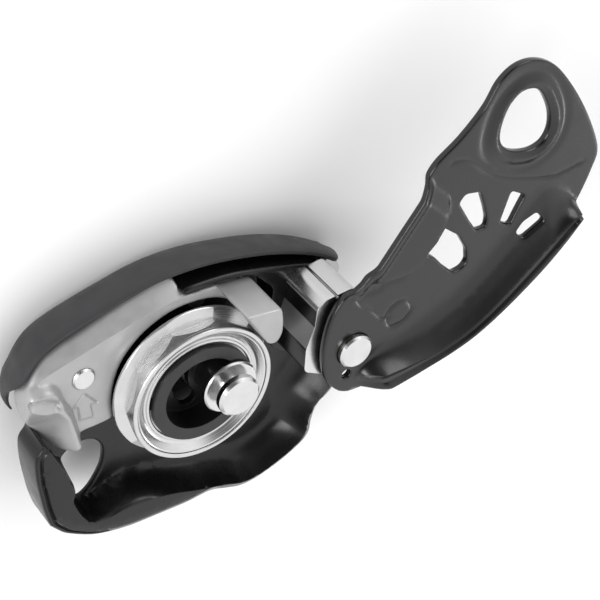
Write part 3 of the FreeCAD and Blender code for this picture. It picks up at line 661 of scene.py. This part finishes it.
# the tray's wall runs from the crest of the rim down to its foot on the floor
CREST = smooth([
    (-4.1, 22), (-4.3, 12), (-5, 5), (-6.9, 1), (-7.2, -5.5), (-5.8, -9.6), (-2.1, -11.7),
    (0.7, -12.3), (4.6, -13.6), (8.9, -16), (14.5, -19.9), (19.2, -24), (23, -27),
    (26.8, -30.2), (30.6, -33.4), (35.4, -35), (42, -35.4), (48.2, -34.6), (51.4, -33),
    (54, -29.2), (57, -26.4), (60.6, -25), (64, -22.9), (68.6, -18.2), (73.4, -9.8),
    (76, -2.4), (90, -2), (90, 45), (-4.1, 45)], 0.9)
WALL_FOOT = smooth([
    (-3.9, 22), (-4.1, 12), (-4.4, 5), (-5.8, 1), (-5.9, -5.5), (-3.6, -8.9), (-0.6, -9.4),
    (1.7, -9.4), (6, -9.6), (10.2, -11.2), (14.4, -14.6), (20, -18), (25, -21), (30, -25),
    (34.6, -27.6), (39, -28.8), (44, -28.6), (47.6, -25.8), (49.6, -21.6), (53, -18.4),
    (57.4, -15.8), (62, -14), (68, -11.8), (78, -5), (91, 2), (91, 46), (-3.9, 46)], 0.9)
BOSS = smooth([
    (-9.4, 12.8), (-7.6, 13), (-5.4, 10), (-4.6, 6.6), (-5, 4), (-6.8, 1.6), (-10, 0.2),
    (-15, -1.2), (-14.4, 4), (-12.4, 9.4)], 0.8)
SEAT = smooth([
    (79, 2), (77.5, 9), (73.5, 15.4), (66, 21.8), (59, 27.2), (54.4, 30.4), (48.4, 33.4),
    (42.9, 35.4), (42.6, 33.2), (46.6, 31.4), (51, 29.5), (56.4, 26.8), (59.4, 24),
    (60.6, 20.6), (61.6, 16.6), (58.6, 11.4), (55.8, 6), (54.7, 0.8), (56.4, -3.8),
    (60.6, -7.8), (68, -11), (74, -11.2), (77.6, -7)], 0.8)
EYE = smooth([
    (-4.2, 5.4), (-2.6, 7), (0, 7.9), (3.2, 7.4), (5.5, 5.9), (6.6, 3.4), (6.3, 0.2),
    (4.2, -3.4), (1.2, -6), (-2, -7.9), (-5, -8.4), (-6, -6.6), (-5.6, -3), (-5, 1)], 0.6)
PIVOT_HOLE_RADIUS = 3.01
RIM_ROLL, SEAM_DEPTH = 1.6, 0.9


def fixed_top(places):
    """Tray: a floor, a wall that rises to a broad rim, a boss beside the eye and a raised seat."""
    outside = side_of(places, CREST)
    crest, foot = np.abs(outside), distance(places, WALL_FOOT)
    in_wall = (outside < 0) & ~within(places, WALL_FOOT)
    fall = np.where(in_wall, crest / np.maximum(crest + foot, 1e-9), np.where(outside < 0, 1, 0))
    # the wall is steep under the crest, and softer on both sides near the eye
    soft = ease((18 - places[:, 0]) / 12)
    drop = (1 - soft) * (1 - (1 - fall) ** 2.3) + soft * ease(fall)
    level = RIM_TOP - (RIM_TOP - FLOOR) * drop
    edge = distance(places, FIXED_OUTLINE)
    on_rim = (places[:, 1] < 8) & (outside > 0)
    level -= np.where(on_rim, RIM_ROLL * (1 - ease(edge / 3.4)), 0)
    boss = side_of(places, BOSS)
    level = np.maximum(level, RIM_TOP - (RIM_TOP - FLOOR) * ease(boss / 1.6))
    seat = side_of(places, SEAT)
    level = np.maximum(level, SEAT_TOP - (SEAT_TOP - FLOOR) * ease((seat + 0.2) / 1.3))
    # seam between the boss and the plate's thin outer edge
    seam = dip(edge - 1.5, 0.35) * ease((-places[:, 0] - 3) / 3)
    return level - SEAM_DEPTH * seam * (level > FLOOR + 3)


def fixed_plate():
    axle, bush_radius = round_node("axle_bush")
    pivot = round_node("pivot_bush")[0]
    holes = [EYE, ring(bush_radius + 0.01, axle), ring(PIVOT_HOLE_RADIUS, pivot)]
    walls = [offset_loop(CREST, gap, True)
             for gap in (-0.4, 0, 0.3, 0.6, 1.0, 1.5, 2.1, 2.8, 3.6, 4.6, 5.8, 7.2)]
    around = [offset_loop(BOSS, gap, False) for gap in (-0.3, 0.2, 0.6, 1.0, 1.4, 1.8)]
    around += [offset_loop(SEAT, gap, False) for gap in (-0.5, -0.1, 0.25, 0.6, 1.0, 1.4)]
    around += [offset_loop(FIXED_OUTLINE, gap, True) for gap in (1.4, 1.7, 2.1, 3.8)]
    sheet("fixed_plate_shell", FIXED_OUTLINE, holes, fixed_top,
          lambda places: np.full(len(places), PLATE_LOW), "frame", "black_plate",
          "fixed_side_plate", edge=0.9, spacing=1.3, guides=walls + around)


# ---- the friction plate, in two pieces ----

# the casting's high end: a step, a crest beyond which it slopes down, and a valley between
S_LIP = smooth([
    (-4.8, 37.4), (-2.6, 37.1), (0.2, 37.3), (2.8, 36.9), (4.4, 35.6), (4.9, 33.6),
    (4.6, 31), (4.4, 28.4), (4.5, 25.6), (3.8, 21.4), (2.9, 17), (2.5, 13)], 0.7, False)
LOWER_CREST = smooth([
    (-3, 37.4), (-1.4, 34.3), (0.3, 31.9), (2.5, 30.4), (3.5, 28.2), (3.8, 25.6),
    (3.1, 21.4), (1.9, 17), (1.4, 13)], 0.7, False)
VALLEY = smooth([(-1.6, 36.4), (0, 35.3), (1.6, 34), (2.8, 32.6), (3.3, 31.4)], 0.5, False)
CAST_OUTLINE = smooth([
    (-4.2, 31), (-4.6, 27.6), (-4.4, 24), (-3.4, 19.6), (-2, 16.4), (0.2, 14.8), (2.4, 14.9),
    (3.8, 16.2), (5.6, 16), (8.1, 15), (12.2, 13.9), (13.4, 15.4), (14.8, 19), (17.6, 23.4),
    (21.6, 27.4), (26.6, 30), (32, 31.2), (38, 30.9), (43.4, 29), (47.8, 26.2), (50.6, 23),
    (53, 19.6), (55.6, 17.6), (57.2, 20.6), (58.2, 23.8), (51.3, 28.3), (46.8, 30.8),
    (42.6, 33), (42.4, 36.2), (40.6, 38.2), (34, 39), (28, 39.7), (17.1, 40.6), (11, 41.2),
    (6.6, 41.2), (2.2, 39.9), (-1.2, 37.6), (-3.2, 34.6)], 0.7)
SHOULDER = smooth([
    (-5.4, 35), (-3, 36.8), (0.2, 38.3), (4, 38.7), (8, 38.4), (13, 37.8), (19.8, 37),
    (25.3, 36.2), (31, 35.4), (36.6, 34.4), (41.6, 32.8), (46.4, 30.3), (51.3, 27.4),
    (54, 25.4)], 0.7, False)
ARROW = cornered([(10.3, 26.6), (5.9, 24.7), (7.1, 23.8), (5.7, 19.9), (9, 18.2), (10.1, 22.2),
                  (11.7, 21.2)], 0.25, 0.3)
RIVET_HOLE = ring(2.31, (12, 30.8))
CLAW = cornered([(49.8, 29.1), (58.5, 24.2), (57.5, 20.6), (55.9, 17.2), (53.6, 15.6),
                 (51.6, 16.6), (51, 20), (50.6, 24)], 1.1)
CAST_TOP = 16.9
CAST_HIGH = RIM_TOP - 0.2
CLAW_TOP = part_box("friction_plate")[1].z / MM
CLAW_FOOT_REACH = 23.6
CAST_EDGE_HEIGHT = 1.6
CREST_SLOPE, SHOULDER_SLOPE = 0.85, 0.95
VALLEY_DEPTH, ARROW_DEPTH = 1.6, 0.3


def cast_top(places):
    """Flat face, a high end behind an S-shaped step with a shallow valley, and a shoulder."""
    ahead = distance(places, S_LIP, closed=False)
    closing = np.vstack([S_LIP, [(-12, 6), (-12, 40)]])
    high = np.where(within(places, closing), ahead, -ahead)
    level = CAST_TOP + (CAST_HIGH - CAST_TOP) * ease((high + 1.5) / 1.9)
    down = within(places, np.vstack([LOWER_CREST, [(-12, 8), (-12, 40)]]))
    slope = np.where(down, distance(places, LOWER_CREST, closed=False), 0)
    level -= CREST_SLOPE * np.maximum(slope - 0.35, 0)
    level -= VALLEY_DEPTH * dip(distance(places, VALLEY, closed=False), 1.1) * ~down
    level = np.maximum(level, FLOOR + CAST_EDGE_HEIGHT)
    level -= ARROW_DEPTH * dip(distance(places, ARROW), 0.2)
    beyond = ~within(places, np.vstack([SHOULDER, [(54, 0), (-9, 0)]]))
    return level - SHOULDER_SLOPE * np.where(beyond, distance(places, SHOULDER, closed=False), 0)


def friction_casting():
    steps = [offset_loop(S_LIP, gap, True)[2:-2]
             for gap in (-1.6, -1.2, -0.8, -0.4, 0, 0.4, 0.8, 1.2)]
    steps += [offset_loop(LOWER_CREST, gap, True)[2:-2] for gap in (-0.2, 0.3, 0.8)]
    steps += [offset_loop(SHOULDER, gap, True)[2:-2] for gap in (-0.3, 0, 0.3)]
    steps += [offset_loop(ARROW, gap, True) for gap in (-0.35, 0, 0.35)]
    sheet("friction_plate_cast", CAST_OUTLINE, [RIVET_HOLE], cast_top,
          lambda places: np.full(len(places), FLOOR), "frame", "satin_casting",
          "friction_plate", edge=0.7, spacing=0.9, guides=steps)


def claw():
    """Block with rounded top edges. Below its middle it stands clear of the wheel."""
    axle = np.array(round_node("sheave_wheel")[0])
    away = CLAW - axle
    reach = np.linalg.norm(away, axis=1)[:, None]
    foot = axle + away * np.maximum(1, CLAW_FOOT_REACH / reach)
    levels = [(foot, CAST_TOP - 0.6), (foot, CAST_TOP + 0.3), (foot, 25.2), (CLAW, 25.5),
              (CLAW, CLAW_TOP - 0.7)]
    levels += [(offset_loop(CLAW, inset, True), CLAW_TOP - below)
               for inset, below in ((0.1, 0.35), (0.3, 0.1), (0.5, 0.02))]
    stack("friction_plate_claw", levels, "frame", "satin_casting")


# ---- the handle ----

GRIP_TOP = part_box("handle_grip")[1].z / MM
GRIP_SOLE = 2.6
GRIP_LOW_START, GRIP_LOW_END = 8.6, 4
GRIP_LINE = smooth([
    (-5.6, 28.4), (-5.7, 30.6), (-5.2, 33.4), (-3.4, 38), (0.8, 42), (6, 44.8), (11.5, 45.7),
    (18, 45.3), (28, 43.9), (38.5, 41.9), (48.5, 38), (58, 32.4), (67.5, 25.2), (75.5, 17.2),
    (80.2, 10.2), (82.5, 4), (82.9, -1)], 1.2, False)
WEB_OUTLINE = smooth([
    (-2.6, 31), (0, 34), (5, 36.4), (12, 37.2), (20, 36.6), (29, 35.4), (38, 33.4), (47, 29.8),
    (56, 24.4), (65, 17.4), (72, 10.4), (77, 5.6), (81.4, 2.4), (82.6, -3), (81, -7.4),
    (77, -9.4), (71.6, -7.4), (69.4, -2), (68.4, 8), (58, 19.4), (44, 25), (26, 28.8),
    (8, 28), (0, 27.4)], 1.0)
WEB_TOP, WEB_BOTTOM = 2.9, 0.02
HINGE_HOLE_RADIUS = 2.06


def grip_profile(t):
    """Section of the moulded wall: rounded under, upright above, lower towards both ends."""
    if t < 0.5:
        low_end, rise = GRIP_LOW_START, (t - 0.03) / 0.1
    else:
        low_end, rise = GRIP_LOW_END, (1 - t) / 0.1
    height = low_end + (GRIP_TOP - low_end) * ease(rise)
    taper = 0.35 + 0.65 * ease(t / 0.05)
    section = [(-9.4, 0.4), (-8.4, 0.05), (-7, 0.6), (-5.2, 1.8), (-3.4, 3.6), (-1.9, 5.6),
               (-0.8, 8), (-0.2, 11), (0, 14.4), (-0.15, 15.4), (-0.55, GRIP_TOP),
               (-1.25, GRIP_TOP), (-1.62, 15.5), (-1.75, 12), (-2, 8.6), (-3.4, 5.8), (-5.6, 4),
               (-8, 3), (-10, GRIP_SOLE)]
    stretch = (height - GRIP_SOLE) / (GRIP_TOP - GRIP_SOLE)
    return [(x * taper, z if z < GRIP_SOLE else GRIP_SOLE + (z - GRIP_SOLE) * stretch)
            for x, z in section]


def handle():
    """Wall along the device's edge, and the flat web that closes the channel below."""
    sweep("handle_wall", GRIP_LINE, grip_profile, "handle", "grip_plastic", "handle_grip")
    hinge = round_node("handle_hinge_pin")[0]
    sheet("handle_web", WEB_OUTLINE, [ring(HINGE_HOLE_RADIUS, hinge)],
          lambda places: np.full(len(places), WEB_TOP),
          lambda places: np.full(len(places), WEB_BOTTOM), "handle", "grip_plastic",
          edge=0.7, spacing=2.5)


fixed_plate()
friction_casting()
claw()
handle()


# ---- floor, light and camera ----

DARK_SIDE = (-0.1, 0.68, 0.72)
FLOOR_HALF_WIDTH = 6.0
FLOOR_LEVEL = -0.0002


def make_floor():
    low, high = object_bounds()
    middle = (low + high) / 2
    mesh = bpy.data.meshes.new("floor")
    corners = [(middle.x + x * FLOOR_HALF_WIDTH, middle.y + y * FLOOR_HALF_WIDTH, FLOOR_LEVEL)
               for x, y in ((-1, -1), (1, -1), (1, 1), (-1, 1))]
    mesh.from_pydata(corners, [], [(0, 1, 2, 3)])
    floor = bpy.data.objects.new("floor", mesh)
    bpy.context.collection.objects.link(floor)
    material = new_material("floor_paper", (0.96, 0.96, 0.96), 0.0, 0.9)[0]
    mesh.materials.append(material)


def area_light(name, place, size, power):
    light = bpy.data.lights.new(name, "AREA")
    light.shape = "RECTANGLE"
    light.size, light.size_y = size
    light.energy = power
    lamp = bpy.data.objects.new(name, light)
    lamp.location = place
    middle = (cad_box[0] + cad_box[1]) / 2
    lamp.rotation_euler = (middle - Vector(place)).to_track_quat("-Z", "Y").to_euler()
    bpy.context.collection.objects.link(lamp)


def light_scene():
    """Bright room, dark towards one side and dim near the ground, and three soft lamps."""
    world = bpy.data.worlds.new("studio")
    world.use_nodes = True
    tree = world.node_tree
    background = tree.nodes["Background"]
    background.inputs["Color"].default_value = (1, 1, 1, 1)
    where = add(tree, "TexCoord").outputs["Generated"]
    towards = add(tree, "VectorMath", {0: where, 1: DARK_SIDE}, operation="DOT_PRODUCT")
    shade = add(tree, "MapRange", {"Value": towards.outputs["Value"], "From Min": 0.68,
                                   "From Max": 0.94, "To Min": 1.2, "To Max": 0.15},
                interpolation_type="SMOOTHSTEP").outputs["Result"]
    height = add(tree, "SeparateXYZ", {"Vector": where}).outputs["Z"]
    horizon = add(tree, "MapRange", {"Value": height, "From Min": 0.0, "From Max": 0.45,
                                     "To Min": 0.3, "To Max": 1.0}).outputs["Result"]
    both = add(tree, "Math", {0: shade, 1: horizon}, operation="MULTIPLY").outputs[0]
    tree.links.new(both, background.inputs["Strength"])
    bpy.context.scene.world = world
    area_light("key", (-0.6, 0.7, 0.6), (0.5, 0.5), 6)
    area_light("fill", (0.8, 0.5, 0.35), (0.5, 0.4), 2)
    area_light("rim", (0.85, -1.1, 0.7), (0.25, 0.25), 0.9)
    bpy.context.scene.view_settings.view_transform = "Standard"


def make_camera():
    """Long lens at the photograph's viewing angle, held by its own three axes."""
    data = bpy.data.cameras.new("camera")
    data.sensor_width = 36
    data.lens = 110.35
    data.clip_start = 0.01
    camera = bpy.data.objects.new("camera", data)
    right = Vector((0.7863, -0.2976, 0.5415))
    up = Vector((0.5964, 0.5948, -0.5391))
    back = Vector((-0.1617, 0.7468, 0.6451))
    turn = Matrix((right, up, back)).transposed()
    camera.matrix_world = Matrix.Translation(Vector((-6.53, 344.61, 308.72)) * MM) @ turn.to_4x4()
    bpy.context.collection.objects.link(camera)
    bpy.context.scene.camera = camera


make_floor()
light_scene()
make_camera()
